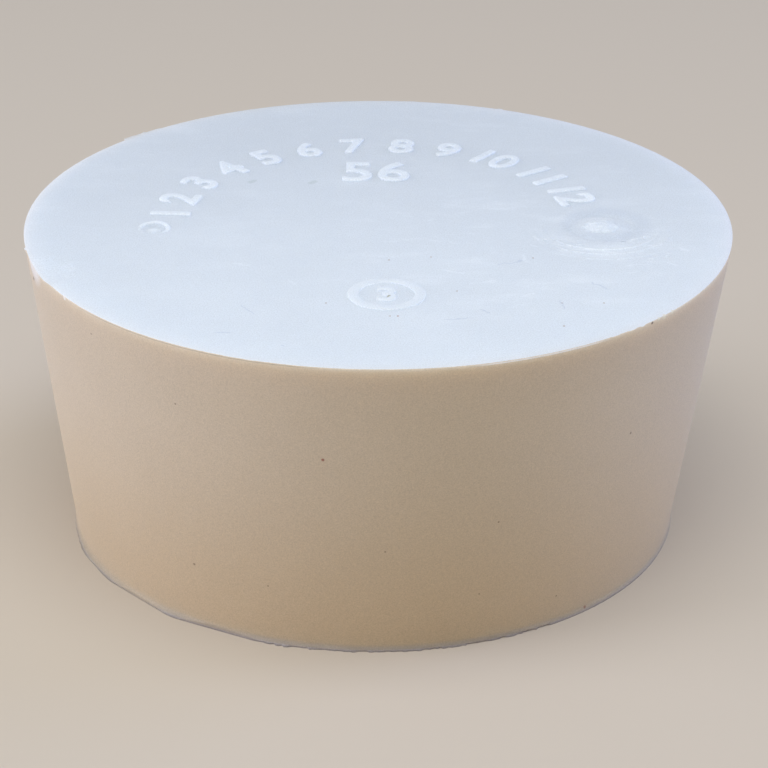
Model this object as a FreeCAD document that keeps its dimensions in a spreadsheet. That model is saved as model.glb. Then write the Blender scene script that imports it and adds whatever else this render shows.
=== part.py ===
"""Solid rubber stopper for a wide neck: one moulded, tapered plug, shown wide face up.

Millimetres, +Z up. The origin is the centre of the narrow face, which the stopper rests on.
The wide face carries the two marks of the mould's feed: a small ring with a crater on one side,
and a low dome in a shallow sink on the other. Round the narrow face runs a thin fin of flash, which
a blade trimmed with three straight cuts on one side.
"""

import FreeCAD, Part
import math
import os

import Sketcher

# Driving dimensions: alias, value in millimetres or degrees, what it is
SIZES = [
    ("wide_diameter", 56.0, "across the wide face"),
    ("narrow_diameter", 49.0, "across the narrow end of the taper, without the flash"),
    ("height", 25.0, "between the two faces"),
    ("wide_rim_radius", 0.1, "rounding of the wide rim"),
    ("flash_width", 0.65, "how far the flash stands out round the narrow face"),
    ("flash_thickness", 0.15, "thickness of the flash, level with the narrow face"),
    ("flash_blend_radius", 0.2, "hollow rounding from the flash up into the side"),
    ("first_trim_corner", 201.0, "where the first trimmed flat begins, from +X"),
    ("second_trim_corner", 213.2, "where the first flat meets the second"),
    ("third_trim_corner", 231.5, "where the second flat meets the third"),
    ("last_trim_corner", 252.0, "where the third flat ends"),
    ("trim_slope", 70.0, "lean of the trimmed flats, from the narrow face"),
    ("trim_depth", 0.06, "from the flash's edge in to the corners between the flats"),
    ("ring_mark_distance", 17.6, "from the axis to the centre of the ring mark"),
    ("ring_mark_angle", 187.5, "direction of the ring mark, from +X"),
    ("ring_mark_diameter", 2.7, "across the ring mark"),
    ("bead_width", 0.42, "width of the ring's round bead"),
    ("bead_height", 0.3, "from the wide face to the top of the bead"),
    ("bead_blend_radius", 0.08, "hollow rounding where the bead leaves the wide face"),
    ("crater_depth", 0.12, "from the wide face to the floor inside the ring"),
    ("dome_mark_distance", 17.8, "from the axis to the centre of the dome mark"),
    ("dome_mark_angle", -4.0, "direction of the dome mark, from +X"),
    ("dome_diameter", 2.7, "across the foot of the dome"),
    ("dome_height", 0.35, "from the wide face to the top of the dome"),
    ("sink_diameter", 7.2, "across the shallow sink round the dome"),
    ("sink_depth", 0.16, "from the wide face to the bottom of the sink"),
]
ROOT = 1.0  # how far a raised mark's section reaches down into the plug, so that the two fuse
OVER = 1.0  # how far a cutting section reaches past the surface that it cuts
SAME = 0.001  # two lengths closer than this are the same
TRIM_CORNERS = ["first_trim_corner", "second_trim_corner", "third_trim_corner", "last_trim_corner"]
FLASH_EDGE = "(sizes.narrow_diameter / 2 + sizes.flash_width)"
RISE = "(sizes.wide_diameter - sizes.narrow_diameter) / 2 * sizes.flash_thickness / sizes.height"
FLASH_ROOT = f"sizes.narrow_diameter / 2 + {RISE}"


def make_sheet(doc):
    """The spreadsheet that holds every driving dimension under its alias."""
    sheet = doc.addObject("Spreadsheet::Sheet", "sizes")
    for row, (alias, value, note) in enumerate(SIZES, start=1):
        sheet.set(f"A{row}", alias)
        sheet.set(f"B{row}", str(value))
        sheet.set(f"C{row}", note)
        sheet.setAlias(f"B{row}", alias)
    doc.recompute()
    return sheet


def arc_centre(start, end, coordinate, value):
    """The centre of an arc from start to end, as far from both, when its x or its y is known."""
    across, up = 2 * (end.x - start.x), 2 * (end.y - start.y)
    total = end.dot(end) - start.dot(start)
    if coordinate == "x":
        return FreeCAD.Vector(value, (total - across * value) / up, 0)
    return FreeCAD.Vector((total - up * value) / across, value, 0)


def arc_between(start, end, centre):
    """The anticlockwise arc about centre from start to end."""
    begin, finish = start - centre, end - centre
    begin_angle = math.atan2(begin.y, begin.x)
    finish_angle = math.atan2(finish.y, finish.x)
    if finish_angle < begin_angle:
        finish_angle += 2 * math.pi
    circle = Part.Circle(centre, FreeCAD.Vector(0, 0, 1), begin.Length)
    return Part.ArcOfCircle(circle, begin_angle, finish_angle)


def bind(sketch, line, point, coordinate, expression):
    """Drives one coordinate of a line's or arc's point. A 0 puts the point on the sketch's own axis."""
    if expression == "0":
        axis = -2 if coordinate == "x" else -1
        sketch.addConstraint(Sketcher.Constraint("PointOnObject", line, point, axis))
        return
    kind = "DistanceX" if coordinate == "x" else "DistanceY"
    value = float(sketch.evalExpression(expression))
    index = sketch.addConstraint(Sketcher.Constraint(kind, -1, 1, line, point, value))
    sketch.setExpression(f"Constraints[{index}]", expression)


def section(body, name, corners, arcs=None, shift=None, turn=None):
    """A closed section on the body's upright XZ plane, drawn anticlockwise.

    corners holds expressions for x and y. arcs makes the edge that leaves a corner an arc, and gives
    the known coordinate of its centre. shift moves the section's origin, and turn swings it about +Z.
    """
    sketch = body.newObject("Sketcher::SketchObject", name)
    plane = next(f for f in body.Origin.OriginFeatures if f.Role == "XZ_Plane")
    sketch.AttachmentSupport = [(plane, "")]
    sketch.MapMode = "FlatFace"
    upright = FreeCAD.Vector(0, 1, 0)
    sketch.AttachmentOffset = FreeCAD.Placement(FreeCAD.Vector(), FreeCAD.Rotation(upright, 0))
    for axis, expression in (shift or {}).items():
        sketch.setExpression(f"AttachmentOffset.Base.{axis}", expression)
    if turn:
        sketch.setExpression("AttachmentOffset.Rotation.Angle", turn)

    arcs = arcs or {}
    points = []
    for x, y in corners:
        points.append(FreeCAD.Vector(float(sketch.evalExpression(x)), float(sketch.evalExpression(y)), 0))
    for number, start in enumerate(points):
        end = points[(number + 1) % len(points)]
        if number in arcs:
            coordinate, expression = arcs[number]
            known = float(sketch.evalExpression(expression))
            edge = arc_between(start, end, arc_centre(start, end, coordinate, known))
        else:
            edge = Part.LineSegment(start, end)
        sketch.addGeometry(edge, False)
    for number in range(len(points)):
        following = (number + 1) % len(points)
        sketch.addConstraint(Sketcher.Constraint("Coincident", number, 2, following, 1))
    for number, (x, y) in enumerate(corners):
        bind(sketch, number, 1, "x", x)
        bind(sketch, number, 1, "y", y)
    for number, (coordinate, expression) in arcs.items():
        bind(sketch, number, 3, coordinate, expression)
    return sketch


def spin(body, kind, name, sketch):
    """A full turn of the section about its own upright axis, added or cut away."""
    feature = body.newObject(f"PartDesign::{kind}", name)
    feature.Profile = sketch
    feature.ReferenceAxis = (sketch, ["V_Axis"])
    feature.Angle = 360
    body.Document.recompute()
    return feature


def circle_edges(shape, centre, radius):
    """The names of the shape's edges that lie on the circle of that centre and radius, level in Z."""
    names = []
    for number, edge in enumerate(shape.Edges, start=1):
        curve = edge.Curve
        if not isinstance(curve, Part.Circle) or abs(curve.Radius - radius) > SAME:
            continue
        if curve.Center.distanceToPoint(centre) < SAME:
            names.append(f"Edge{number}")
    return names


def blend(body, name, centre, radius, rounding):
    """A fillet along the circle of that centre and radius on the body as it stands."""
    base = body.Tip
    edges = circle_edges(base.Shape, centre, radius)
    if not edges:
        raise RuntimeError(f"{name}: no edge lies there")
    fillet = body.newObject("PartDesign::Fillet", name)
    fillet.Base = (base, edges)
    fillet.setExpression("Radius", rounding)
    body.Document.recompute()
    return fillet


def make_plug(body, sheet):
    """The tapered plug and its flash, turned from half their section, with the wide rim rounded."""
    half = section(
        body,
        "plug_section",
        [
            ("0", "0"),
            (FLASH_EDGE, "0"),
            (FLASH_EDGE, "sizes.flash_thickness"),
            (FLASH_ROOT, "sizes.flash_thickness"),
            ("sizes.wide_diameter / 2", "sizes.height"),
            ("0", "sizes.height"),
        ],
    )
    spin(body, "Revolution", "plug", half)
    top = FreeCAD.Vector(0, 0, sheet.height)
    blend(body, "wide_rim", top, sheet.wide_diameter / 2, "sizes.wide_rim_radius")
    root = FreeCAD.Vector(0, 0, sheet.flash_thickness)
    rise = (sheet.wide_diameter - sheet.narrow_diameter) / 2 * sheet.flash_thickness / sheet.height
    blend(body, "flash_blend", root, sheet.narrow_diameter / 2 + rise, "sizes.flash_blend_radius")


def trim_rim(body):
    """The straight cuts that trimmed the flash on one side of the narrow face.

    Each flat is a chord from one corner to the next, and leans out as it rises.
    """
    for number, (begin, end) in enumerate(zip(TRIM_CORNERS, TRIM_CORNERS[1:]), start=1):
        half_span = f"(sizes.{end} - sizes.{begin}) / 2"
        chord = f"({FLASH_EDGE} - sizes.trim_depth) * cos({half_span})"
        lean = "1 / tan(sizes.trim_slope)"
        wedge = section(
            body,
            f"trim_section_{number}",
            [
                (f"{chord} - {OVER} * {lean}", f"-{OVER}"),
                (f"{chord} + sizes.height * {lean}", f"-{OVER}"),
                (f"{chord} + sizes.height * {lean}", "sizes.height"),
            ],
            turn=f"(sizes.{begin} + sizes.{end}) / 2 * 1 deg",
        )
        cut = body.newObject("PartDesign::Pocket", f"trim_{number}")
        cut.Profile = wedge
        cut.SideType = "Symmetric"
        cut.setExpression("Length", "sizes.narrow_diameter / 2")
        body.Document.recompute()


def mark_place(mark):
    """Expressions that put a section's origin on the wide face, at a mark's distance and direction."""
    return {
        "x": f"sizes.{mark}_distance * cos(sizes.{mark}_angle)",
        "y": "sizes.height",
        "z": f"-sizes.{mark}_distance * sin(sizes.{mark}_angle)",
    }


def make_ring_mark(body, sheet):
    """The ring mark: a round bead that stands on the wide face, with a crater inside it."""
    place = mark_place("ring_mark")
    outer = "sizes.ring_mark_diameter / 2"
    inner = f"{outer} - sizes.bead_width"
    shoulder = "sizes.bead_height - sizes.bead_width / 2"
    bead = section(
        body,
        "bead_section",
        [(inner, f"-{ROOT}"), (outer, f"-{ROOT}"), (outer, shoulder), (inner, shoulder)],
        arcs={2: ("y", shoulder)},
        shift=place,
    )
    spin(body, "Revolution", "bead", bead)
    crater = section(
        body,
        "crater_section",
        [
            ("0", "-sizes.crater_depth"),
            (inner, "-sizes.crater_depth"),
            (inner, f"sizes.bead_height + {OVER}"),
            ("0", f"sizes.bead_height + {OVER}"),
        ],
        shift=place,
    )
    spin(body, "Groove", "crater", crater)
    angle = math.radians(sheet.ring_mark_angle)
    distance = sheet.ring_mark_distance
    foot = FreeCAD.Vector(distance * math.cos(angle), distance * math.sin(angle), sheet.height)
    blend(body, "bead_blend", foot, sheet.ring_mark_diameter / 2, "sizes.bead_blend_radius")


def make_dome_mark(body):
    """The dome mark: a low dome that rises from the middle of a shallow, dished sink."""
    place = mark_place("dome_mark")
    sink = section(
        body,
        "sink_section",
        [
            ("0", "-sizes.sink_depth"),
            ("sizes.sink_diameter / 2", "0"),
            ("sizes.sink_diameter / 2", f"{OVER}"),
            ("0", f"{OVER}"),
        ],
        arcs={0: ("x", "0")},
        shift=place,
    )
    spin(body, "Groove", "sink", sink)
    dome = section(
        body,
        "dome_section",
        [
            ("0", f"-{ROOT}"),
            ("sizes.dome_diameter / 2", f"-{ROOT}"),
            ("sizes.dome_diameter / 2", "-sizes.sink_depth"),
            ("0", "sizes.dome_height"),
        ],
        arcs={2: ("x", "0")},
        shift=place,
    )
    spin(body, "Revolution", "dome", dome)


def check(doc, bodies):
    """Stops the build if any object failed, or if a body isn't one good solid."""
    for item in doc.Objects:
        if {"Invalid", "Error"} & set(item.State):
            raise RuntimeError(f"{item.Name} failed: {item.State}")
    for body in bodies:
        if body.Shape.isNull() or not body.Shape.isValid() or len(body.Shape.Solids) != 1:
            raise RuntimeError(f"{body.Label} isn't one good solid")


def main():
    doc = FreeCAD.newDocument("rubber_stopper")
    sheet = make_sheet(doc)
    stopper = doc.addObject("PartDesign::Body", "stopper")
    stopper.Label = "stopper"
    make_plug(stopper, sheet)
    trim_rim(stopper)
    make_ring_mark(stopper, sheet)
    make_dome_mark(stopper)
    doc.recompute()
    check(doc, [stopper])
    os.makedirs("parts", exist_ok=True)
    stopper.Shape.exportStep(f"parts/{stopper.Label}.step")
    return doc


main()
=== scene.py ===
"""A solid rubber stopper, moulded in one piece, standing on its narrow face with its wide face up."""

import math
import random

import bmesh
import bpy
from mathutils import Matrix, Vector


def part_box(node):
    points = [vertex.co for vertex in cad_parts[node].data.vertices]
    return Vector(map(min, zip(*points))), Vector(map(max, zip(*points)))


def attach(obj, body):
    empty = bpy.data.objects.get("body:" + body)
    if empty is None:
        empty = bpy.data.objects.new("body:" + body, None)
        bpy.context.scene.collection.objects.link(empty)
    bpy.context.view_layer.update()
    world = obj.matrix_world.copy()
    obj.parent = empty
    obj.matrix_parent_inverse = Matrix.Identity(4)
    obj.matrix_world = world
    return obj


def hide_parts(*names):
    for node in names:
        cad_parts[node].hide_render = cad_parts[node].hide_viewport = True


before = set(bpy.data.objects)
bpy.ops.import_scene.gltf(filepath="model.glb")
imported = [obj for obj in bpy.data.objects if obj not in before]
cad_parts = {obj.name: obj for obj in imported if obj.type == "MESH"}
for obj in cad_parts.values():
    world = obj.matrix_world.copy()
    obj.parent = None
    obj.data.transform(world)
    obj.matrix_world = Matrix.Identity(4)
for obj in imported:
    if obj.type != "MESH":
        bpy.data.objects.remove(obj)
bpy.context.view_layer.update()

# The plug: one solid body of off-white rubber compound, compression moulded with a taper.
# Its wide face is up and its side runs down to a narrow foot, where the two halves of the mould met.
MM = 0.001
COLUMNS = 720  # faces round the plug, close enough together for the torn edges below
SAME_HEIGHT = 0.001 * MM  # points closer in height than this count as level
WIDE_FACE = 25.0 * MM
WIDE_RADIUS = -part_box("stopper")[0].x
NARROW_RADIUS = 24.5 * MM


def cone_radius(height):
    """The plug's radius at a height above its narrow face."""
    return NARROW_RADIUS + (WIDE_RADIUS - NARROW_RADIUS) * height / WIDE_FACE


def start_editing(piece):
    """Leaves only this piece selected and goes into its edit mode."""
    bpy.ops.object.select_all(action="DESELECT")
    piece.select_set(True)
    bpy.context.view_layer.objects.active = piece
    bpy.ops.object.mode_set(mode="EDIT")


def pick(piece, kind, test):
    """In edit mode, selects the vertices, edges or faces whose points all pass the test."""
    bpy.context.tool_settings.mesh_select_mode = (kind == "VERT", kind == "EDGE", kind == "FACE")
    mesh = bmesh.from_edit_mesh(piece.data)
    for vertex in mesh.verts:
        vertex.select_set(False)
    mesh.select_flush(False)
    if kind == "VERT":
        for vertex in mesh.verts:
            vertex.select_set(test(vertex.co))
    else:
        for part in mesh.edges if kind == "EDGE" else mesh.faces:
            part.select_set(all(test(vertex.co) for vertex in part.verts))
    mesh.select_flush_mode()
    bmesh.update_edit_mesh(piece.data)


def level(height):
    """A test for points at a height above the narrow face."""
    return lambda place: abs(place.z - height) < SAME_HEIGHT


def bearing(place):
    """The direction of a point from the plug's axis, in degrees from +X, 0 to 360."""
    return math.degrees(math.atan2(place.y, place.x)) % 360


def ring(piece, height, radius):
    """Cuts a new ring of vertices round the plug at a height, and brings it to a radius."""
    bpy.ops.mesh.select_all(action="SELECT")
    bpy.ops.mesh.bisect(plane_co=(0, 0, height), plane_no=(0, 0, 1))
    scale = radius / cone_radius(height)
    pick(piece, "VERT", level(height))
    bpy.ops.transform.resize(value=(scale, scale, 1), center_override=(0, 0, height))


bpy.ops.object.select_all(action="DESELECT")
bpy.ops.mesh.primitive_cylinder_add(
    vertices=COLUMNS, radius=WIDE_RADIUS, depth=WIDE_FACE, location=(0, 0, WIDE_FACE / 2)
)
plug = bpy.context.object
plug.name = "moulded_plug"
bpy.ops.object.transform_apply(location=True, rotation=True, scale=True)

start_editing(plug)
taper = NARROW_RADIUS / WIDE_RADIUS
pick(plug, "VERT", level(0))
bpy.ops.transform.resize(value=(taper, taper, 1), center_override=(0, 0, 0))

# The flash: rubber that crept between the halves of the mould round the narrow face. It is a thin fin,
# level with the face, that a small hollow joins to the foot of the side. It is widest at the front
# left, torn into fine teeth along the front, and dies away to the right.
FLASH_WIDTH = 0.52 * MM
FLASH_PROFILE = [  # height above the narrow face in millimetres, and share of the flash's width
    (1.6, 0),
    (1.0, 0.01),
    (0.65, 0.05),
    (0.45, 0.11),
    (0.32, 0.20),
    (0.23, 0.33),
    (0.17, 0.50),
    (0.135, 0.70),
    (0.11, 0.88),
    (0.085, 0.99),
    (0.03, 1.0),
]
FLASH_STRETCHES = [  # direction in degrees from +X, and share of its width that the flash has there
    (0, 0.25),
    (40, 0.35),
    (75, 0.25),
    (120, 0.40),
    (165, 0.25),
    (188, 0.25),
    (197, 0.60),
    (202, 1.0),
    (252, 1.0),
    (260, 0.80),
    (276, 0.66),
    (288, 0.56),
    (305, 0.48),
    (330, 0.44),
    (348, 0.28),
    (360, 0.25),
]
FOOT_SHARE = 0.96  # share of its width that the fin's underside has
SLICE = 2.5  # width in degrees of the slices in which the fin is brought to its share
EARLY = 0.01  # degrees by which a slice begins early, so that no column of points is missed
WHOLE = 0.99  # a slice with more of the flash than this stays as it is
TORN = (249, 303)  # the stretch of the fin with teeth, in degrees from +X
TOOTH_HALF = (0.22, 0.60)  # least and greatest half width of a tooth, in degrees
TOOTH_STEP = (-0.20, 0.06)  # how far in or out of the fin's edge it lies, in millimetres
TOOTH_TOP = 0.12 * MM
RAGGED = 0.018 * MM
RAGGED_LEVELS = [0.0, 0.03, 0.085, 0.11]  # heights in millimetres of the fin's ragged edge


def flash_share(direction):
    """How much of its full width the flash has in a direction, read between the listed ones."""
    for (low, first), (high, last) in zip(FLASH_STRETCHES, FLASH_STRETCHES[1:]):
        if direction <= high:
            return first + (last - first) * (direction - low) / (high - low)


for height, share in FLASH_PROFILE:
    ring(plug, height * MM, cone_radius(height * MM) + share * FLASH_WIDTH)
foot_scale = (NARROW_RADIUS + FOOT_SHARE * FLASH_WIDTH) / NARROW_RADIUS
pick(plug, "VERT", level(0))
bpy.ops.transform.resize(value=(foot_scale, foot_scale, 1), center_override=(0, 0, 0))

fin_levels = [height * MM for height, share in FLASH_PROFILE[2:]] + [0.0]
for number in range(round(360 / SLICE)):
    low, high = number * SLICE - EARLY, (number + 1) * SLICE - EARLY
    kept = flash_share((number + 0.5) * SLICE)
    if kept > WHOLE:
        continue
    for height in fin_levels:
        cone = cone_radius(height)
        pick(plug, "VERT", lambda p: level(height)(p) and low <= bearing(p) < high)
        here = next((v.co.xy.length for v in bmesh.from_edit_mesh(plug.data).verts if v.select), cone)
        scale = (cone + kept * (here - cone)) / here
        bpy.ops.transform.resize(value=(scale, scale, 1), center_override=(0, 0, height))

for seed, height in enumerate([height * MM for height in RAGGED_LEVELS], start=3):
    pick(plug, "VERT", level(height))
    bpy.ops.transform.vertex_random(offset=RAGGED, seed=seed)
    bpy.ops.transform.resize(value=(1, 1, 0), center_override=(0, 0, height))

teeth = random.Random(7)
at = TORN[0]
while at < TORN[1]:
    half = teeth.uniform(*TOOTH_HALF)
    pick(plug, "VERT", lambda p: p.z < TOOTH_TOP and abs(bearing(p) - at - half) < half)
    scale = 1 + teeth.uniform(*TOOTH_STEP) * MM / NARROW_RADIUS
    bpy.ops.transform.resize(value=(scale, scale, 1), center_override=(0, 0, 0))
    at += 2 * half

# The wide rim: sharp, with a thread of torn rubber left standing out from it here and there, and one
# soft patch on the left where the edge was pulled down as the stopper came out of the mould.
RIM_ROUNDING = 0.06 * MM
JUST_INSIDE = 0.01 * MM  # so close to the edge that only its own points lie farther out
TABS = [  # direction in degrees from +X, half width in degrees, how far it stands out in millimetres
    (139.6, 0.5, 0.31),
    (138.4, 0.8, 0.28),
    (136.5, 1.2, 0.20),
    (134.0, 1.5, 0.11),
    (85.0, 2.0, 0.03),
    (83.8, 1.0, 0.04),
    (67.7, 0.4, 0.18),
    (192.8, 0.4, 0.12),
    (248.0, 1.2, 0.03),
    (251.0, 0.6, 0.04),
    (308.0, 0.6, 0.05),
    (311.5, 0.8, 0.07),
    (314.0, 0.5, 0.06),
]
SOFT_PATCH = 202.5  # direction in degrees from +X
SOFT_REACH = 3.0 * MM
SOFT_PULL = (0.16 * MM, 0.42 * MM)  # inwards and down
SOFT_GRIP = 0.4 * MM  # how much of the edge is pulled down in full
RIM_RINGS = [22.6, 23.3, 23.8, 24.2, 24.5, 24.75, 24.9]  # heights in millimetres where the side can bend
FACE_RINGS = [0.25, 0.35, 0.5, 0.7, 1.0]  # widths in millimetres of the bands where the face can bend
RIM_UNEVEN = 0.008 * MM

for height in RIM_RINGS:
    ring(plug, height * MM, cone_radius(height * MM))
pick(plug, "FACE", level(WIDE_FACE))
for width in FACE_RINGS:
    bpy.ops.mesh.inset(thickness=width * MM)
soft = Vector((math.cos(math.radians(SOFT_PATCH)), math.sin(math.radians(SOFT_PATCH)), 0))
pick(plug, "VERT", lambda p: level(WIDE_FACE)(p) and (p - soft * WIDE_RADIUS).xy.length < SOFT_GRIP)
bpy.ops.transform.translate(
    value=-soft * SOFT_PULL[0] - Vector((0, 0, SOFT_PULL[1])),
    use_proportional_edit=True,
    proportional_edit_falloff="SMOOTH",
    proportional_size=SOFT_REACH,
)
pick(plug, "EDGE", lambda p: level(WIDE_FACE)(p) and p.xy.length > WIDE_RADIUS - JUST_INSIDE)
bpy.ops.mesh.bevel(offset=RIM_ROUNDING, segments=2, profile=0.5, affect="EDGES")
edge_depth = 1.2 * RIM_ROUNDING


def on_edge(place):
    """A test for points on the rounded edge of the wide face."""
    return place.z > WIDE_FACE - edge_depth and place.xy.length > WIDE_RADIUS - edge_depth


for direction, half, proud in TABS:
    pick(plug, "VERT", lambda p: on_edge(p) and abs(bearing(p) - direction) < half)
    scale = 1 + proud * MM / WIDE_RADIUS
    bpy.ops.transform.resize(value=(scale, scale, 1), center_override=(0, 0, WIDE_FACE))
pick(plug, "VERT", on_edge)
bpy.ops.transform.vertex_random(offset=RIM_UNEVEN, seed=41)
bpy.ops.object.mode_set(mode="OBJECT")

# The trimmed stretch: a blade took most of the flash off one side, in three straight cuts that meet
# at blunt corners. Each cut is made with the flat side of a block.
TRIM_CORNERS = [201.0, 213.2, 231.5, 252.0]  # in degrees from +X
CORNER_RADIUS = 25.07 * MM
BLOCK = 12.0 * MM
BLOCK_TOP = 0.5 * MM


def combine(piece, other, operation):
    """Joins the other closed shape to the piece, or takes it away, and deletes the other."""
    bpy.ops.object.select_all(action="DESELECT")
    bpy.context.view_layer.objects.active = piece
    piece.select_set(True)
    change = piece.modifiers.new("combine", "BOOLEAN")
    change.operation = operation
    change.solver = "EXACT"
    change.object = other
    bpy.ops.object.modifier_apply(modifier=change.name)
    bpy.data.objects.remove(other)


for begin, end in zip(TRIM_CORNERS, TRIM_CORNERS[1:]):
    middle = math.radians((begin + end) / 2)
    chord = CORNER_RADIUS * math.cos(math.radians((end - begin) / 2))
    reach = chord + BLOCK / 2
    bpy.ops.mesh.primitive_cube_add(
        size=BLOCK,
        location=(reach * math.cos(middle), reach * math.sin(middle), BLOCK_TOP - BLOCK / 2),
        rotation=(0, 0, middle),
    )
    combine(plug, bpy.context.object, "DIFFERENCE")

# The feed marks: where the two gates of the mould closed, a blank of rubber was pushed in and torn off.
# On the left that left a round bead, highest at its back, about a shallow crater with a soft lump in
# it. On the right it left a torn dome in a dished sink, with torn threads in front of it.
BEAD_PLACE = Vector((-17.66, -1.97, 0)) * MM
BEAD_RADIUS = 1.12 * MM
BEAD_THICKNESS = 0.21 * MM
BEAD_HEIGHT = 24.88 * MM
BEAD_TILT = (math.radians(5.2), math.radians(-1.2), 0)
CRATER = [(0.35, 0.05), (0.4, 0.02)]  # steps inwards and down, in millimetres
LUMP_PLACE = BEAD_PLACE + Vector((0.02, -0.42, 0)) * MM
DOME_PLACE = Vector((17.59, -1.27, 0)) * MM
DOME_RADIUS = 1.66 * MM
MOUND_RADIUS = 2.8 * MM
MOUND_TOP = 25.09 * MM
DOME_TOP = 25.30 * MM
SINK_RADIUS = 3.7 * MM
SINK = [(0.45, 0.03), (0.55, 0.05), (0.6, 0.05), (0.6, 0.03)]  # steps inwards and down
BEAD_LUMPS = (0.7 * MM, 0.09 * MM)  # how wide and how high the lumps of the torn rubber are
BEAD_MIDDLE_LUMPS = (0.6 * MM, 0.05 * MM)
MOUND_LUMPS = (1.2 * MM, 0.05 * MM)
DOME_LUMPS = (0.42 * MM, 0.24 * MM)
FOLD_LUMPS = (1.1 * MM, 0.06 * MM)
SHRED_LUMPS = (0.25 * MM, 0.06 * MM)
LUMP_RADIUS = 0.86 * MM
LUMP_TOP = 25.08 * MM
LUMP_ROOT = 0.3 * MM  # how deep a lump is rooted in the wide face
FOLDS = [  # soft ridges round the front of the sink: radius and height of its middle in millimetres
    (4.65, 24.76),
    (5.55, 24.75),
    (6.60, 24.73),
]
FOLD_THICKNESS = 0.24 * MM
FOLD_RISE = 0.065 * MM  # how much higher a fold's front is than its middle
SHREDS = [  # torn threads about the sink: place, length and width in millimetres, direction in degrees
    ((20.15, -3.75), 0.95, 0.09, 24),
    ((20.82, -3.30), 0.36, 0.08, 78),
    ((19.10, -4.15), 0.45, 0.06, 12),
    ((13.15, -3.92), 0.80, 0.07, -10),
    ((14.05, -4.12), 0.45, 0.06, -4),
    ((17.70, -5.15), 0.50, 0.06, 2),
    ((15.60, -4.95), 0.90, 0.06, -14),
    ((22.40, -7.10), 0.55, 0.07, 12),
    ((21.10, -7.75), 0.70, 0.06, -8),
]


def apply_place(piece):
    """Moves the piece's place, turn and size into its mesh, so that its object lies at the origin."""
    bpy.ops.object.select_all(action="DESELECT")
    piece.select_set(True)
    bpy.context.view_layer.objects.active = piece
    bpy.ops.object.transform_apply(location=True, rotation=True, scale=True)


def roughen(piece, wide, high):
    """Makes a smooth surface lumpy, as torn rubber is, with lumps that wide and that high."""
    lumps = bpy.data.textures.new("lumps", "CLOUDS")
    lumps.noise_scale = wide
    lumps.noise_depth = 3
    change = piece.modifiers.new("lumps", "DISPLACE")
    change.texture = lumps
    change.texture_coords = "LOCAL"
    change.strength = high
    change.mid_level = 0.5
    bpy.context.view_layer.objects.active = piece
    bpy.ops.object.modifier_apply(modifier=change.name)


def hollow_out(piece, where, radius, steps):
    """Sinks a round hollow into the wide face, with a floor that steps inwards and down."""
    bpy.ops.object.select_all(action="DESELECT")
    bpy.ops.mesh.primitive_cylinder_add(
        vertices=96, radius=radius, depth=2 * MM, location=where + Vector((0, 0, WIDE_FACE + MM))
    )
    tool = bpy.context.object
    apply_place(tool)
    start_editing(tool)
    pick(tool, "FACE", level(WIDE_FACE))
    for width, drop in steps:
        bpy.ops.mesh.inset(thickness=width * MM)
        bpy.ops.transform.translate(value=(0, 0, -drop * MM))
    bpy.ops.object.mode_set(mode="OBJECT")
    combine(piece, tool, "DIFFERENCE")


def add_lump(piece, where, radius, top, lumps):
    """Puts a low round lump on the wide face, up to a height above the narrow face."""
    bpy.ops.object.select_all(action="DESELECT")
    bpy.ops.mesh.primitive_uv_sphere_add(
        segments=72, ring_count=48, radius=radius, location=where + Vector((0, 0, WIDE_FACE - LUMP_ROOT))
    )
    lump = bpy.context.object
    lump.scale = (1, 1, (top - WIDE_FACE + LUMP_ROOT) / radius)
    apply_place(lump)
    roughen(lump, *lumps)
    combine(piece, lump, "UNION")


def add_ridge(piece, where, radius, thickness, height, tilt, lumps):
    """Puts a round ridge on the wide face, tilted so that one side of it is higher."""
    bpy.ops.object.select_all(action="DESELECT")
    bpy.ops.mesh.primitive_torus_add(
        major_segments=200,
        minor_segments=20,
        major_radius=radius,
        minor_radius=thickness,
        location=where + Vector((0, 0, height)),
        rotation=tilt,
    )
    ridge = bpy.context.object
    apply_place(ridge)
    roughen(ridge, *lumps)
    combine(piece, ridge, "UNION")


def add_shred(piece, where, length, width, direction):
    """Lays a torn thread of rubber on the wide face, half sunk into it."""
    bpy.ops.object.select_all(action="DESELECT")
    bpy.ops.mesh.primitive_uv_sphere_add(
        segments=24, ring_count=16, radius=width, location=where + Vector((0, 0, WIDE_FACE))
    )
    shred = bpy.context.object
    shred.scale = (length / 2 / width, 1, 1)
    shred.rotation_euler.z = direction
    apply_place(shred)
    roughen(shred, *SHRED_LUMPS)
    combine(piece, shred, "UNION")


hollow_out(plug, DOME_PLACE, SINK_RADIUS, SINK)
hollow_out(plug, BEAD_PLACE, BEAD_RADIUS, CRATER)
add_ridge(plug, BEAD_PLACE, BEAD_RADIUS, BEAD_THICKNESS, BEAD_HEIGHT, BEAD_TILT, BEAD_LUMPS)
add_lump(plug, LUMP_PLACE, LUMP_RADIUS, LUMP_TOP, BEAD_MIDDLE_LUMPS)
add_lump(plug, DOME_PLACE, MOUND_RADIUS, MOUND_TOP, MOUND_LUMPS)
add_lump(plug, DOME_PLACE, DOME_RADIUS, DOME_TOP, DOME_LUMPS)
for radius, height in FOLDS:
    tilt = (-math.asin(FOLD_RISE / (radius * MM)), 0, 0)
    add_ridge(plug, DOME_PLACE, radius * MM, FOLD_THICKNESS, height * MM, tilt, FOLD_LUMPS)
for place, length, width, direction in SHREDS:
    add_shred(plug, Vector((*place, 0)) * MM, length * MM, width * MM, math.radians(direction))

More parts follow.
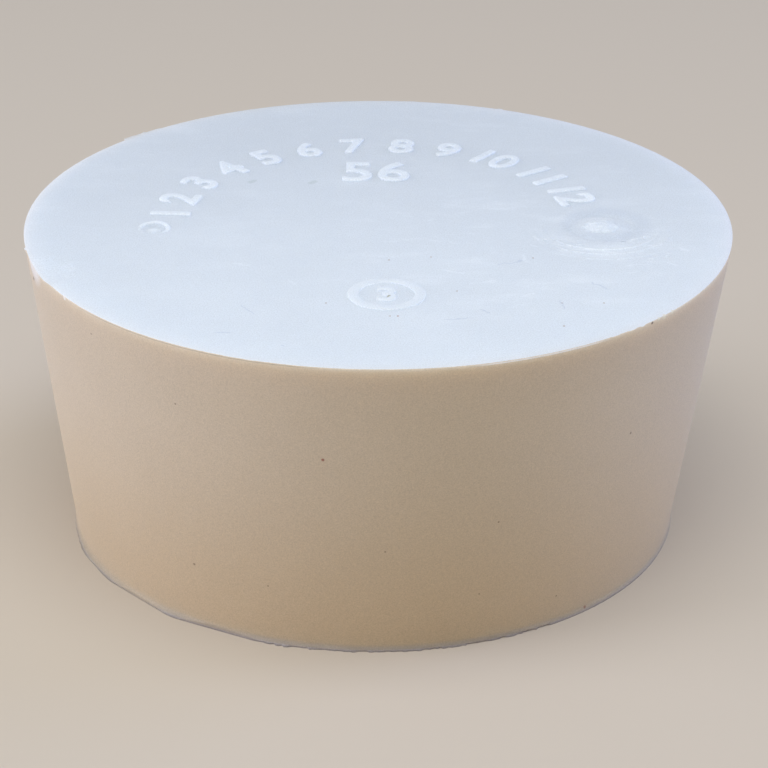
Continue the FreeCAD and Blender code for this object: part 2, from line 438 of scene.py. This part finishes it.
# The raised numbers: they were cut into the lid of the mould, so they stand up from the wide face in
# the rubber itself. Plain numbers from 1 to 12 run round the far rim, over the width in millimetres.
NUMBERS = [str(number) for number in range(1, 13)]
NUMBER_RADIUS = 16.6 * MM
NUMBER_HEIGHT = 3.3 * MM
NUMBER_SPAN = (177.5, 12.0)  # the outer edges of the first and the last, in degrees from +X
WIDTH_PLACE = Vector((-0.2, 10.5, 0)) * MM
WIDTH_HEIGHT = 4.4 * MM
WIDTH_THINNED = -0.04 * MM
ROUNDED_EDGE = 0.16 * MM
FIGURE_DEPTH = 0.02 * MM
NUMBER_PROUD = 0.17 * MM  # before they are smoothed
SOFTENED_TO = 0.065 * MM
SOFTENING_PASSES = 12
LETTER_SIZE = 1.37  # the lettering's nominal size over the height of its figures
WELD = 0.002 * MM  # points closer than this are one


def raised_text(text, height, bold, proud):
    """Makes one number in raised figures, centred on the origin and proud of it by a height."""
    bpy.ops.object.text_add()
    figures = bpy.context.object
    figures.data.body = text
    figures.data.size = LETTER_SIZE * height
    figures.data.align_x = "CENTER"
    figures.data.extrude = FIGURE_DEPTH
    figures.data.bevel_depth = ROUNDED_EDGE
    figures.data.bevel_resolution = 3
    figures.data.offset = bold
    figures.data.resolution_u = 6
    bpy.ops.object.convert(target="MESH")
    figures = bpy.context.object
    figures.name = "figures"
    start_editing(figures)
    bpy.ops.mesh.select_all(action="SELECT")
    bpy.ops.mesh.remove_doubles(threshold=WELD)
    bpy.ops.mesh.normals_make_consistent(inside=False)
    bpy.ops.object.mode_set(mode="OBJECT")
    low = Vector([min(corner[axis] for corner in figures.bound_box) for axis in range(3)])
    high = Vector([max(corner[axis] for corner in figures.bound_box) for axis in range(3)])
    figures.scale = (height / (high.y - low.y), height / (high.y - low.y), 1)
    figures.location = -(low + high) / 2 * figures.scale.x
    figures.location.z = proud - FIGURE_DEPTH - ROUNDED_EDGE
    apply_place(figures)
    return figures


def soften(pieces, detail, passes):
    """Makes the pieces one object with one closed, smoothed skin, soft down to the given detail."""
    bpy.ops.object.select_all(action="DESELECT")
    for piece in pieces:
        piece.select_set(True)
    bpy.context.view_layer.objects.active = pieces[0]
    if len(pieces) > 1:
        bpy.ops.object.join()
    joined = bpy.context.object
    skin = joined.modifiers.new("skin", "REMESH")
    skin.mode = "VOXEL"
    skin.voxel_size = detail
    bpy.ops.object.modifier_apply(modifier=skin.name)
    soft = joined.modifiers.new("soft", "SMOOTH")
    soft.iterations = passes
    bpy.ops.object.modifier_apply(modifier=soft.name)
    return joined


numerals = [raised_text(text, NUMBER_HEIGHT, 0.0, NUMBER_PROUD) for text in NUMBERS]
widths = [piece.dimensions.x for piece in numerals]
free = math.radians(NUMBER_SPAN[0] - NUMBER_SPAN[1]) * NUMBER_RADIUS - sum(widths)
gap = free / (len(numerals) - 1)
along = 0
for piece, width in zip(numerals, widths):
    angle = math.radians(NUMBER_SPAN[0]) - (along + width / 2) / NUMBER_RADIUS
    along += width + gap
    piece.rotation_euler.z = angle - math.pi / 2
    piece.location = (NUMBER_RADIUS * math.cos(angle), NUMBER_RADIUS * math.sin(angle), WIDE_FACE)
    apply_place(piece)

width_number = raised_text("56", WIDTH_HEIGHT, WIDTH_THINNED, NUMBER_PROUD)
width_number.location = WIDTH_PLACE + Vector((0, 0, WIDE_FACE))
apply_place(width_number)
numerals.append(width_number)

# Rubber fills the cut figures with soft edges, so they are remade as one skin and smoothed.
combine(plug, soften(numerals, SOFTENED_TO, SOFTENING_PASSES), "UNION")

# The cavity mark: a small plate set into the lid of the mould, with a plain ring and the number of
# the cavity, so its edges are crisper than those of the numbers above.
RING_PLACE = Vector((0.65, -14.75, 0)) * MM
RING_RADIUS = 2.95 * MM
RING_BAND = 0.85 * MM
RING_HEIGHT = 0.09 * MM
RING_EDGE = 0.08 * MM
CAVITY_HEIGHT = 2.7 * MM
CAVITY_BOLD = 0.03 * MM
CAVITY_PROUD = 0.12 * MM
CAVITY_SOFTENED_TO = 0.6 * SOFTENED_TO
CAVITY_PASSES = 5

bpy.ops.object.select_all(action="DESELECT")
bpy.ops.mesh.primitive_cylinder_add(
    vertices=120, radius=RING_RADIUS, depth=2 * RING_HEIGHT, location=RING_PLACE + Vector((0, 0, WIDE_FACE))
)
cavity_ring = bpy.context.object
apply_place(cavity_ring)
start_editing(cavity_ring)
for cap in (WIDE_FACE + RING_HEIGHT, WIDE_FACE - RING_HEIGHT):
    pick(cavity_ring, "FACE", level(cap))
    bpy.ops.mesh.inset(thickness=RING_BAND)
    bpy.ops.mesh.delete(type="FACE")
inner = RING_RADIUS - 0.9 * RING_BAND  # a little outside the ring's inner edge
pick(cavity_ring, "EDGE", lambda p: (p - RING_PLACE).xy.length < inner)
bpy.ops.mesh.bridge_edge_loops()
for inside in (False, True):
    pick(
        cavity_ring,
        "EDGE",
        lambda p: level(WIDE_FACE + RING_HEIGHT)(p) and ((p - RING_PLACE).xy.length < inner) == inside,
    )
    bpy.ops.mesh.bevel(offset=RING_EDGE, segments=3, affect="EDGES")
bpy.ops.mesh.select_all(action="SELECT")
bpy.ops.mesh.normals_make_consistent(inside=False)
bpy.ops.object.mode_set(mode="OBJECT")
combine(plug, cavity_ring, "UNION")

cavity_number = raised_text("3", CAVITY_HEIGHT, CAVITY_BOLD, CAVITY_PROUD)
cavity_number.location = RING_PLACE + Vector((0, 0, WIDE_FACE))
apply_place(cavity_number)
combine(plug, soften([cavity_number], CAVITY_SOFTENED_TO, CAVITY_PASSES), "UNION")

# The lean: the halves of the mould met a little out of line, so the narrow face lies to the left of
# the middle of the wide one. The whole side leans over evenly with it.
LEAN = 0.322 * MM
CAGE = 70 * MM
SMOOTH_UP_TO = math.radians(32)  # edges that turn more than this stay sharp
LARGE_FACES = 90  # how much more a large face counts than a small one in the shading
bpy.ops.object.select_all(action="DESELECT")
bpy.ops.object.add(type="LATTICE", location=(0, 0, WIDE_FACE / 2))
cage = bpy.context.object
cage.scale = (CAGE, CAGE, WIDE_FACE)
for axis in "uvw":
    setattr(cage.data, f"interpolation_type_{axis}", "KEY_LINEAR")
for point in cage.data.points:
    point.select = point.co.z < 0
bpy.ops.object.mode_set(mode="EDIT")
bpy.ops.transform.translate(value=(-LEAN, 0, 0))
bpy.ops.object.mode_set(mode="OBJECT")
lean = plug.modifiers.new("lean", "LATTICE")
lean.object = cage
bpy.context.view_layer.objects.active = plug
bpy.ops.object.modifier_apply(modifier=lean.name)
bpy.data.objects.remove(cage)

bpy.ops.object.select_all(action="DESELECT")
plug.select_set(True)
bpy.context.view_layer.objects.active = plug
bpy.ops.object.shade_smooth_by_angle(angle=SMOOTH_UP_TO)
even = plug.modifiers.new("even shading", "WEIGHTED_NORMAL")
even.weight = LARGE_FACES
even.keep_sharp = True
bpy.ops.object.modifier_apply(modifier=even.name)

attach(plug, "root")
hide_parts("stopper")


# Off-white natural rubber compound, filled with chalk and moulded against fine-blasted steel. It is a
# little translucent, so the rim glows and small shadows are soft, with a satin sheen. What faces up is
# painted a cool white, painted light from above, with painted shade towards the back, and the side is
# a warmer ivory with painted shade that darkens it towards the foot.
# The first two face colours are painted cool light from above, the far one with painted shade; the grey is
# both scratches and painted shade in the sink.
PAINTED_SKYLIGHT_NEAR, PAINTED_SHADED_SKYLIGHT_FAR, HAZE_WHITE, GREY_SCRATCH_AND_SHADE = "#DDE6EE", "#CDD6DF", "#E8F0F8", "#C2CEDD"
# The low side colour is painted shade towards the foot, the pale one painted light on the torn patch and
# under the rim, and the dark line colour painted shade under the rim.
SIDE_WARM, SIDE_PAINTED_SHADE_LOW, PALE_PAINTED_LIGHT, UNDER_RIM_PAINTED_SHADE = "#D2C3AE", "#CBB698", "#E6E2DE", "#B5A794"
# The fin grey is painted cool light on the fin's top, and the hollow grey is painted shade in the hollow
# above it.
FIN_PAINTED_SKYLIGHT, HOLLOW_PAINTED_SHADE, CHIP_PALE = "#C3B4AE", "#9E9796", "#DAD3BE"
REDDISH, BROWN, DARK, OLIVE, GREENISH = "#A06A58", "#97826E", "#5A4A42", "#8C8A66", "#C4CFD5"
CLOUD = 7.7 * MM  # width of the faint clouds where the filler is mixed unevenly
MOTTLE = 0.56 * MM  # width of the mottle that the mould's skin left
GRAIN = 0.105 * MM  # the blasted grain is really 0.05 mm, too fine to show
HAZE = 6.7 * MM  # width of the patches of haze
SCUFF = 1.6 * MM  # width of the scuffs
SHAKE = 1.1 * MM  # length over which a scratch wavers
SHAKEN_BY = 1.4 * MM  # from the farthest that it wavers to one side to the farthest to the other
RIPPLE = 0.9 * MM  # from one ripple to the next
SEEN_DEPTH = 2.4 * MM  # how deep light goes into the rubber
FRONT_BEGINS, FRONT_FULL = -17 * MM, -23 * MM  # along Y
SIDE_SPECKS = [  # direction in degrees from +X, height and reach in millimetres, colour
    (-98.2, 17.13, 0.18, REDDISH),
    (-122.4, 5.60, 0.15, BROWN),
    (-44.2, 15.42, 0.15, BROWN),
    (-122.6, 19.81, 0.11, BROWN),
    (-139.9, 23.07, 0.11, BROWN),
    (-108.2, 5.21, 0.10, BROWN),
    (-88.2, 9.13, 0.10, BROWN),
    (-69.4, 10.91, 0.12, BROWN),
    (-71.6, 4.53, 0.10, BROWN),
    (-55.8, 2.52, 0.11, BROWN),
    (-48.3, 0.30, 0.22, REDDISH),
    (-62.9, 0.20, 0.18, DARK),
    (-162.6, 23.40, 0.24, DARK),
    # A pale fleck of painted light at the rim.
    (-146.7, 24.85, 0.25, PALE_PAINTED_LIGHT),
    (-44.0, 24.84, 0.17, DARK),
    (-41.0, 24.85, 0.30, CHIP_PALE),
    (-42.4, 24.88, 0.22, CHIP_PALE),
    (-38.9, 24.90, 0.22, CHIP_PALE),
]
FACE_SPECKS = [  # place and reach in millimetres, colour
    ((0.82, -15.23), 0.24, OLIVE),
    ((0.83, -8.14), 0.11, BROWN),
    ((0.89, -18.71), 0.10, BROWN),
    ((1.47, -18.71), 0.12, REDDISH),
    ((13.58, -20.38), 0.12, BROWN),
    ((11.92, -7.63), 0.11, BROWN),
    ((13.67, -16.21), 0.12, BROWN),
    ((16.79, -16.18), 0.10, BROWN),
    ((4.07, -7.52), 0.10, BROWN),
    ((5.92, -14.06), 0.10, BROWN),
    ((-3.86, -16.39), 0.10, BROWN),
    ((-10.45, 8.16), 0.42, GREENISH),
    ((-10.20, 8.45), 0.36, GREENISH),
    ((-5.52, 7.99), 0.40, GREENISH),
    ((-5.25, 8.30), 0.40, GREENISH),
]
SCRATCH_LINES = [  # both ends of each, in millimetres
    ((-10.22, -16.82), (-9.03, -18.63)),
    ((-11.80, -21.87), (-10.57, -21.86)),
    ((-7.23, -24.09), (-6.59, -24.08)),
    ((7.69, -17.19), (8.25, -18.28)),
    ((13.40, -15.66), (13.81, -17.50)),
    ((9.2, -9.0), (11.4, -8.1)),
    ((16.0, -12.2), (17.4, -13.6)),
    ((4.6, -19.4), (6.9, -19.0)),
]
SCUFF_LINES = [  # both ends of each, in millimetres
    ((12.2, -3.0), (12.6, -4.3)),
    ((11.6, -4.9), (12.3, -5.4)),
    ((10.9, -6.9), (11.3, -8.6)),
    ((13.2, -4.6), (15.8, -5.3)),
    ((15.2, -5.9), (18.6, -6.5)),
    ((19.3, -4.4), (21.4, -3.2)),
    ((20.4, -5.4), (22.3, -4.6)),
    ((18.7, -9.4), (21.0, -8.8)),
    ((22.2, -8.4), (23.1, -9.2)),
    ((6.9, -12.6), (9.1, -12.1)),
    ((10.6, -15.1), (11.9, -14.2)),
    ((4.4, -9.9), (6.6, -10.8)),
    ((-6.9, -12.1), (-6.2, -13.3)),
    ((-11.4, -8.5), (-9.7, -9.4)),
    ((23.2, -5.2), (24.1, -6.3)),
]
FACE_LINES = [  # which lines, their colour, strength and reach in millimetres
    (SCRATCH_LINES, GREY_SCRATCH_AND_SHADE, 0.6, 0.10),
    (SCUFF_LINES, HAZE_WHITE, 0.55, 0.16),
]
HANDLING = [  # width of the marks, detail, roughness, and the values at which they begin and are full
    (HAZE, 5.0, 0.62, 0.48, 0.70),
    (SCUFF, 6.0, 0.7, 0.56, 0.70),
]
# Under the rim: a line of painted shade on the left and of painted light on the right.
RIM_LINES = [  # in millimetres along X where a line begins, is full, is still full and ends, and its colour
    (-3, -7, -20, -24, UNDER_RIM_PAINTED_SHADE),
    (6, 9, 15, 17, PALE_PAINTED_LIGHT),
]


def linear(colour):
    """Turns an sRGB hex colour such as "#AABBCC" into Blender's linear red, green, blue and alpha."""
    parts = [int(colour[place : place + 2], 16) / 255 for place in (1, 3, 5)]
    return [part / 12.92 if part <= 0.04045 else ((part + 0.055) / 1.055) ** 2.4 for part in parts] + [1]


def add_node(kind, settings=None, output=0, **inputs):
    """Adds a node, sets its settings, sets or links its inputs (_1 is the second), and returns an output."""
    node = tree.nodes.new("ShaderNode" + kind)
    for name, value in (settings or {}).items():
        setattr(node, name, value)
    for name, value in inputs.items():
        key = int(name[1:]) if name[0] == "_" else name.replace("_", " ")
        if isinstance(value, bpy.types.NodeSocket):
            tree.links.new(value, node.inputs[key])
        else:
            node.inputs[key].default_value = linear(value) if isinstance(value, str) else value
    return node.outputs[output] if node.outputs else None


SOFT = {"interpolation_type": "SMOOTHSTEP"}
PLUS, TIMES, MOST = ({"operation": name} for name in ("ADD", "MULTIPLY", "MAXIMUM"))
LESS, APART = {"operation": "SUBTRACT"}, {"operation": "DISTANCE"}
TIMES_PLUS = {"operation": "MULTIPLY_ADD"}  # the first times the second, plus the third
COLOURS = {"data_type": "RGBA"}

rubber = bpy.data.materials.new("moulded_natural_rubber_compound")
rubber.use_nodes = True
tree = rubber.node_tree
tree.nodes.clear()
place = add_node("TexCoord", output="Object")
x, y, height = (add_node("SeparateXYZ", output=axis, _0=place) for axis in range(3))
facing_up = add_node("SeparateXYZ", output=2, _0=add_node("NewGeometry", output="Normal"))
cloudy = add_node("TexNoise", Vector=place, Scale=1 / CLOUD, Detail=3.0)
mottle = add_node("TexNoise", Vector=place, Scale=1 / MOTTLE, Detail=3.0)
grain = add_node("TexNoise", Vector=place, Scale=1 / GRAIN, Detail=2.0)


def on_side(direction, above):
    """A point on the leaning side, by its direction from the axis and its height."""
    turn = math.radians(direction)
    flat = Vector((math.cos(turn), math.sin(turn), 0)) * cone_radius(above)
    return flat + Vector((-LEAN * (1 - above / WIDE_FACE), 0, above))


def on_top(spot):
    """A point on the wide face, by its place in millimetres."""
    return Vector((*spot, WIDE_FACE / MM)) * MM


# The side: ivory, with painted shade that darkens it towards the foot, painted grey shade in the hollow
# over the fin at the front, and painted cool light on the fin's top. The torn patch is made whiter with
# painted light, and a fine line under the rim has painted shade on the left and painted light on the right.
# Painted shade: the side turns darker and browner towards the foot.
side = add_node("MapRange", SOFT, Value=height, From_Min=0.0, From_Max=20 * MM)
side = add_node("Mix", COLOURS, 2, _0=side, _6=SIDE_PAINTED_SHADE_LOW, _7=SIDE_WARM)
in_front = add_node("MapRange", SOFT, Value=y, From_Min=FRONT_BEGINS, From_Max=FRONT_FULL)
# Painted shade: grey in the hollow over the fin, strongest at the front.
hollow = add_node("MapRange", SOFT, Value=height, From_Min=0.6 * MM, From_Max=0.22 * MM, To_Max=0.42)
hollow = add_node("Math", TIMES, _0=hollow, _1=in_front)
side = add_node("Mix", COLOURS, 2, _0=hollow, _6=side, _7=HOLLOW_PAINTED_SHADE)
# Painted light: a cool grey on the fin's upward top, strongest at the front.
fin = add_node("MapRange", SOFT, Value=y, From_Min=FRONT_BEGINS, From_Max=FRONT_FULL, To_Min=0.35)
low_down = add_node("MapRange", SOFT, Value=height, From_Min=0.20 * MM, From_Max=0.13 * MM)
fin = add_node("Math", TIMES, _0=fin, _1=low_down)
side = add_node("Mix", COLOURS, 2, _0=fin, _6=side, _7=FIN_PAINTED_SKYLIGHT)
# Painted light: the torn patch on the left is made whiter.
patch = add_node("VectorMath", APART, "Value", _0=place, _1=on_side(-161, 24.9 * MM))
patch = add_node("MapRange", SOFT, Value=patch, From_Min=2.1 * MM, From_Max=0.7 * MM)
side = add_node("Mix", COLOURS, 2, _0=patch, _6=side, _7=PALE_PAINTED_LIGHT)
# A line of painted shade under the rim on the left, and of painted light on the right.
line_low = add_node("MapRange", SOFT, Value=height, From_Min=24.80 * MM, From_Max=24.86 * MM)
line_high = add_node("MapRange", SOFT, Value=height, From_Min=24.96 * MM, From_Max=24.90 * MM)
under_rim = add_node("Math", TIMES, _0=line_low, _1=line_high)
for begin, full, still, end, colour in RIM_LINES:
    starts = add_node("MapRange", SOFT, Value=x, From_Min=begin * MM, From_Max=full * MM)
    ends = add_node("MapRange", SOFT, Value=x, From_Min=end * MM, From_Max=still * MM)
    stretch = add_node("Math", TIMES, _0=starts, _1=ends)
    stretch = add_node("Math", TIMES, _0=stretch, _1=under_rim)
    side = add_node("Mix", COLOURS, 2, _0=stretch, _6=side, _7=colour)

# The face: painted cool light from above, with painted shade that darkens it towards the back. Pale
# haze and fine scuffs from handling lie over it, thickest between the middle and the dome, and the
# dished sink about the dome has painted shade that makes it greyer.
face = add_node("MapRange", SOFT, Value=y, From_Min=-24 * MM, From_Max=27 * MM)
face = add_node("Mix", COLOURS, 2, _0=face, _6=PAINTED_SKYLIGHT_NEAR, _7=PAINTED_SHADED_SKYLIGHT_FAR)
handled = add_node("VectorMath", APART, "Value", _0=place, _1=(11 * MM, -7 * MM, WIDE_FACE))
handled = add_node("MapRange", SOFT, Value=handled, From_Min=17 * MM, From_Max=6 * MM, To_Min=0.3)
smeared = add_node("Mapping", Vector=place, Rotation=(0, 0, 0.35), Scale=(1, 2.6, 1))
for size, detail, rough, low, high in HANDLING:
    marks = add_node("TexNoise", Vector=smeared, Scale=1 / size, Detail=detail, Roughness=rough)
    marks = add_node("MapRange", SOFT, Value=marks, From_Min=low, From_Max=high, To_Max=0.45)
    marks = add_node("Math", TIMES, _0=marks, _1=handled)
    face = add_node("Mix", COLOURS, 2, _0=marks, _6=face, _7=HAZE_WHITE)
# Painted shade: the dished sink about the dome is greyed; the same grey also colours the scratches.
sink_middle = DOME_PLACE + Vector((0.5 * MM, 0.5 * MM, WIDE_FACE))
from_sink = add_node("VectorMath", APART, "Value", _0=place, _1=sink_middle)
sink_shade = add_node("MapRange", SOFT, Value=from_sink, From_Min=1.7 * MM, From_Max=2.6 * MM, To_Max=0.28)
rising = add_node("MapRange", SOFT, Value=from_sink, From_Min=4.0 * MM, From_Max=3.0 * MM)
sink_shade = add_node("Math", TIMES, _0=sink_shade, _1=rising)
face = add_node("Mix", COLOURS, 2, _0=sink_shade, _6=face, _7=GREY_SCRATCH_AND_SHADE)

# Painted light: the face's cool colour is also painted on what faces up near the rim.
from_middle = add_node("VectorMath", APART, "Value", _0=place, _1=(0, 0, WIDE_FACE))
on_face = add_node("MapRange", SOFT, Value=from_middle, From_Min=27.6 * MM, From_Max=27.3 * MM)
near_rim = add_node("MapRange", SOFT, Value=height, From_Min=20 * MM, From_Max=22 * MM)
upward = add_node("MapRange", SOFT, Value=facing_up, From_Min=0.35, From_Max=0.9)
near_rim = add_node("Math", TIMES, _0=near_rim, _1=upward)
on_face = add_node("Math", MOST, _0=on_face, _1=near_rim)
tone = add_node("Mix", COLOURS, 2, _0=on_face, _6=side, _7=face)

# Specks of dirt that were moulded in or picked up, and scratches that run a little unevenly.
specks = [(on_side(turn, above * MM), reach, colour) for turn, above, reach, colour in SIDE_SPECKS]
specks += [(on_top(spot), reach, colour) for spot, reach, colour in FACE_SPECKS]
for spot, reach, colour in specks:
    speck = add_node("VectorMath", APART, "Value", _0=place, _1=spot)
    speck = add_node("MapRange", SOFT, Value=speck, From_Min=reach * MM, From_Max=0.25 * reach * MM)
    tone = add_node("Mix", COLOURS, 2, _0=speck, _6=tone, _7=colour)
shaking = add_node("TexNoise", output="Color", Vector=place, Scale=1 / SHAKE, Detail=3.0)
wavers = Vector((SHAKEN_BY, SHAKEN_BY, 0))
shaking = add_node("VectorMath", TIMES_PLUS, _0=shaking, _1=wavers, _2=-wavers / 2)
shaken = add_node("VectorMath", PLUS, _0=place, _1=shaking)
face_lines = [(*ends, *look) for lines, *look in FACE_LINES for ends in lines]
for begin, end, colour, strength, reach in face_lines:
    begin, end = on_top(begin), on_top(end)
    length = (end - begin).length
    along = (end - begin) / length
    offset = add_node("VectorMath", LESS, _0=shaken, _1=begin)
    run = add_node("VectorMath", {"operation": "DOT_PRODUCT"}, "Value", _0=offset, _1=along)
    across = add_node("VectorMath", {"operation": "CROSS_PRODUCT"}, _0=offset, _1=along)
    across = add_node("VectorMath", {"operation": "LENGTH"}, "Value", _0=across)
    starts = add_node("MapRange", SOFT, Value=run, From_Min=0, From_Max=0.2 * length, To_Max=strength)
    ends = add_node("MapRange", SOFT, Value=run, From_Min=length, From_Max=0.8 * length)
    thin = add_node("MapRange", SOFT, Value=across, From_Min=reach * MM, From_Max=0.2 * reach * MM)
    line = add_node("Math", TIMES, _0=starts, _1=ends)
    line = add_node("Math", TIMES, _0=line, _1=thin)
    tone = add_node("Mix", COLOURS, 2, _0=line, _6=tone, _7=colour)

# Cloudiness, mottle and grain run through the whole piece. What stands up from the face is painted
# paler, a painted glow of light through the raised rubber that grows towards the back, and the torn
# dome has less of it.
shade = add_node("Math", TIMES, _0=cloudy, _1=0.07)
shade = add_node("Math", TIMES_PLUS, _0=mottle, _1=0.035, _2=shade)
shade = add_node("Math", TIMES_PLUS, _0=grain, _1=0.46, _2=shade)
shade = add_node("Math", PLUS, _0=shade, _1=0.72)
painted_glow = add_node("MapRange", SOFT, Value=y, From_Min=-12 * MM, From_Max=-4 * MM, To_Min=0.05, To_Max=0.14)
raised = add_node("MapRange", SOFT, Value=height, From_Min=25.0 * MM, From_Max=25.11 * MM)
from_dome = add_node("VectorMath", APART, "Value", _0=place, _1=DOME_PLACE + Vector((0, 0, WIDE_FACE)))
torn = add_node("MapRange", SOFT, Value=from_dome, From_Min=1.5 * MM, From_Max=2.2 * MM, To_Min=0.35)
raised = add_node("Math", TIMES, _0=raised, _1=torn)
painted_glow = add_node("Math", TIMES_PLUS, _0=painted_glow, _1=raised, _2=1.0)
shade = add_node("Math", TIMES, _0=shade, _1=painted_glow)
tone = add_node("Mix", {"data_type": "RGBA", "blend_type": "MULTIPLY"}, 2, _0=1.0, _6=tone, _7=shade)

# Faint ripples lie round the front of the sink, where the rubber was still moving as it set.
wave = add_node("Math", TIMES, _0=from_dome, _1=2 * math.pi / RIPPLE)
ripples = add_node("Math", {"operation": "SINE"}, _0=wave)
# What is measured, and where in millimetres there are no ripples and where they are full.
for value, none, full in [(from_dome, 3.6, 4.4), (from_dome, 7.0, 5.2), (y, -1.5, -4.5)]:
    zone = add_node("MapRange", SOFT, Value=value, From_Min=none * MM, From_Max=full * MM)
    ripples = add_node("Math", TIMES, _0=ripples, _1=zone)
relief = add_node("Math", TIMES, _0=grain, _1=0.35)
relief = add_node("Math", TIMES_PLUS, _0=mottle, _1=0.65, _2=relief)
relief = add_node("Math", TIMES_PLUS, _0=ripples, _1=1.8, _2=relief)
bump = add_node("Bump", Strength=0.3, Distance=0.04 * MM, Height=relief)
gloss = add_node("Math", TIMES_PLUS, _0=mottle, _1=0.12, _2=0.50)
skin = add_node(
    "BsdfPrincipled",
    Base_Color=tone, Roughness=gloss, Normal=bump, IOR=1.50,
    Subsurface_Weight=0.8, Subsurface_Radius=(1.0, 0.97, 0.92), Subsurface_Scale=SEEN_DEPTH,
)
add_node("OutputMaterial", Surface=skin)
plug.data.materials.clear()
plug.data.materials.append(rubber)

# The table: a plain pale sheet of matt card under the stopper, far larger than the view.
TABLE_COLOUR = linear("#CFC5B6")
TABLE_SIZE = 3  # metres
bpy.ops.mesh.primitive_plane_add(size=TABLE_SIZE, location=(0, 0, 0))
floor = bpy.context.object
floor.name = "table"
card = bpy.data.materials.new("matt_card")
card.use_nodes = True
card.node_tree.nodes["Principled BSDF"].inputs["Base Color"].default_value = TABLE_COLOUR
card.node_tree.nodes["Principled BSDF"].inputs["Roughness"].default_value = 0.9
floor.data.materials.append(card)

# The light: a large soft box above, a window on the left, a weak one on the right, and a pale room.
ROOM_LIGHT = 0.42
LAMPS = [  # name, place, size, power and colour
    ("soft_box_above", (0.0, -0.11, 0.40), 0.30, 0.83, (1.0, 1.0, 1.0)),
    ("window_left", (-0.72, -0.10, 0.15), 0.40, 2.7, (0.96, 1.0, 1.25)),
    ("window_right", (0.70, 0.22, 0.16), 0.40, 1.45, (0.80, 1.08, 2.05)),
]
for name, where, size, power, colour in LAMPS:
    bpy.ops.object.light_add(type="AREA", location=where)
    lamp = bpy.context.object
    lamp.name = name
    lamp.data.size = size
    lamp.data.energy = power
    lamp.data.color = colour
    lamp.rotation_euler = (-Vector(where)).to_track_quat("-Z", "Y").to_euler()

world = bpy.data.worlds.new("pale_room")
bpy.context.scene.world = world
world.use_nodes = True
world.node_tree.nodes["Background"].inputs["Color"].default_value = (1, 1, 1, 1)
world.node_tree.nodes["Background"].inputs["Strength"].default_value = ROOM_LIGHT

# The camera, where a fit of the photo's outlines puts it: close, and looking down at a low angle.
EYE = Vector((0, -210.803, 110.519)) * MM
AIM = Vector((0.517, 0, 10.599)) * MM
ROLL = math.radians(0.291)
SENSOR, LENS = 36, 134.129  # millimetres
bpy.ops.object.camera_add(location=EYE)
camera = bpy.context.object
camera.data.sensor_width = SENSOR
camera.data.lens = LENS
camera.data.clip_start = 0.01
turn = (AIM - EYE).to_track_quat("-Z", "Y").to_matrix() @ Matrix.Rotation(ROLL, 3, "Z")
camera.rotation_euler = turn.to_euler()
bpy.context.scene.camera = camera

bpy.context.scene.view_settings.view_transform = "Standard"
